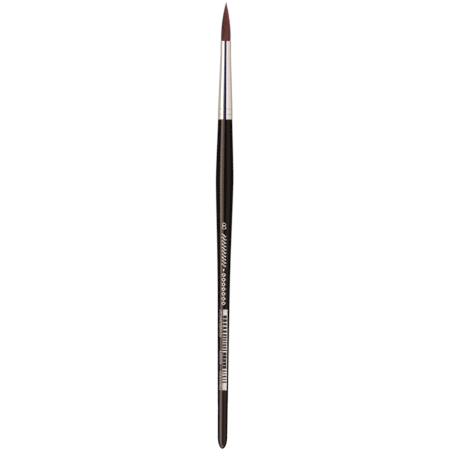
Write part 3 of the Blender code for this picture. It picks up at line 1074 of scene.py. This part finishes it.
def soft_box(name, start, stop, radiance, colour, receivers=None, top=BOX_TOP):
    """An upright light between two azimuths, 0 being the camera's side and positive the right."""
    width = 2 * BOX_DISTANCE * math.tan(math.radians(stop - start) / 2)
    made = area_light(name, width, top - BOX_FOOT, radiance, colour, receivers)
    turn = math.radians(start + stop) / 2
    across, away = BOX_DISTANCE * math.sin(turn), BOX_DISTANCE * math.cos(turn)
    made.location = (across, -away, (BOX_FOOT + top) / 2)
    made.rotation_euler = (math.pi / 2, 0, turn)


soft_box("left box", -60, -36, 6.1, (1.0, 0.90, 0.84), REST)
soft_box("left box edge", -36, -12, 2.7, (1.0, 0.90, 0.84), REST)
soft_box("left wall", -130, -60, 0.08, (1.0, 0.88, 0.80), REST)
soft_box("right box", 27, 76, 0.44, (1.0, 0.86, 0.82), REST)
soft_box("left box by the floor", -84, -60, 1.3, (1.0, 0.90, 0.80), REST, LOW_TOP)
soft_box("right box by the floor", -12, 80, 0.34, (1.0, 0.92, 0.78), REST, LOW_TOP)
soft_box("metal left box", -80, -33, 1.4, (1.0, 0.99, 0.97), METAL)
soft_box("metal blue edge", -33, -15, 0.38, (0.38, 0.38, 1.0), METAL)
soft_box("metal left wall", -180, -80, 0.58, (1.0, 0.84, 0.77), METAL)
soft_box("metal right box", 17, 46, 1.12, (1.0, 0.94, 0.91), METAL)
soft_box("metal right side", 46, 100, 0.86, (1.0, 0.94, 0.91), METAL)
soft_box("metal right wall", 100, 180, 0.48, (1.0, 0.90, 0.88), METAL)
soft_box("back light", 170, 190, 2.6, (1.0, 0.97, 0.94))
soft_box("key light", 18, 78, 1.85, (1.0, 0.97, 0.95))
under = area_light("metal floor", 2 * BOX_DISTANCE, 2 * BOX_DISTANCE, 0.75, (1.0, 0.94, 0.91), METAL)
under.location = (0, 0, BOX_FOOT)
under.rotation_euler = (math.pi, 0, 0)

world = bpy.data.worlds.new("white room")
bpy.context.scene.world = world
world.use_nodes = True
room = Graph(world.node_tree)
ray = room.node("ShaderNodeLightPath", output="Is Camera Ray")
white_room = room.node("ShaderNodeBackground", {}, {"Color": (1, 1, 1, 1), "Strength": 1.0})
soft_room = room.node("ShaderNodeBackground", {}, {"Color": (0.80, 0.70, 0.64, 1), "Strength": 0.5})
dark_room = room.node("ShaderNodeBackground", {}, {"Color": (1.0, 0.75, 0.6, 1), "Strength": 0.012})
unseen = room.node("ShaderNodeMixShader", {}, {0: ray.output("Is Glossy Ray"), 1: soft_room, 2: dark_room})
sky = room.node("ShaderNodeMixShader", {}, {0: ray, 1: unseen, 2: white_room})
room.node("ShaderNodeOutputWorld", {}, {"Surface": sky})

paper, graph = finish_called("white floor")
grain = graph.noise(graph.position(), 60, 3)
graph.surface({
    "Base Color": graph.blended((0.26, 0.26, 0.26, 1), (0.29, 0.29, 0.29, 1), grain),
    "Roughness": 0.9,
    "Specular IOR Level": 0.1,
    "Emission Color": (1, 1, 1, 1),
    "Emission Strength": 0.92,
})


def floor_ring(name, inner, outer, drop, finish, start=-180, stop=180):
    """A flat ring round the brush, face up, or the part of it between two azimuths."""
    shape = bmesh.new()
    turn = math.radians(start)
    ends = [
        shape.verts.new((radius * math.sin(turn), -radius * math.cos(turn), BRUSH_LOW.z - drop))
        for radius in (inner, outer)
    ]
    bmesh.ops.spin(
        shape,
        geom=ends + [shape.edges.new(ends)],
        cent=(0, 0, 0),
        axis=(0, 0, 1),
        angle=math.radians(stop - start),
        steps=96,
        use_merge=stop - start == 360,
    )
    bmesh.ops.remove_doubles(shape, verts=shape.verts, dist=1e-6)
    made = meshed(name, shape, finish)
    return made


# The brush's sides would mirror the whole floor and take its glare, so they get neither, and a small
# bright patch in front gives the tail its glint.
ground = floor_ring("floor", 0.0, FLOOR_RADIUS, FLOOR_DROP, paper)
ground.visible_glossy = False
ground.visible_diffuse = False
glint, graph = finish_called("glint")
graph.surface({"Base Color": (0, 0, 0, 1), "Emission Color": (1, 0.85, 0.78, 1), "Emission Strength": 4.0})
patch = floor_ring("glint for the tail", GLINT_INSIDE, GLINT_OUTSIDE, GLINT_DROP, glint, -48, 24)
patch.visible_camera = False
patch.visible_diffuse = False
patch.visible_shadow = False

lens = bpy.data.cameras.new("long lens")
lens.lens = LENS
lens.clip_start = 0.05
camera = bpy.data.objects.new("camera", lens)
bpy.context.scene.collection.objects.link(camera)
camera.location = (ASIDE, -FRAME_HEIGHT / lens.sensor_width * LENS, MIDDLE)
camera.rotation_euler = (math.pi / 2, math.radians(-LEAN), 0)
bpy.context.scene.camera = camera
bpy.context.scene.view_settings.view_transform = "Standard"
bpy.context.scene.view_settings.look = "None"
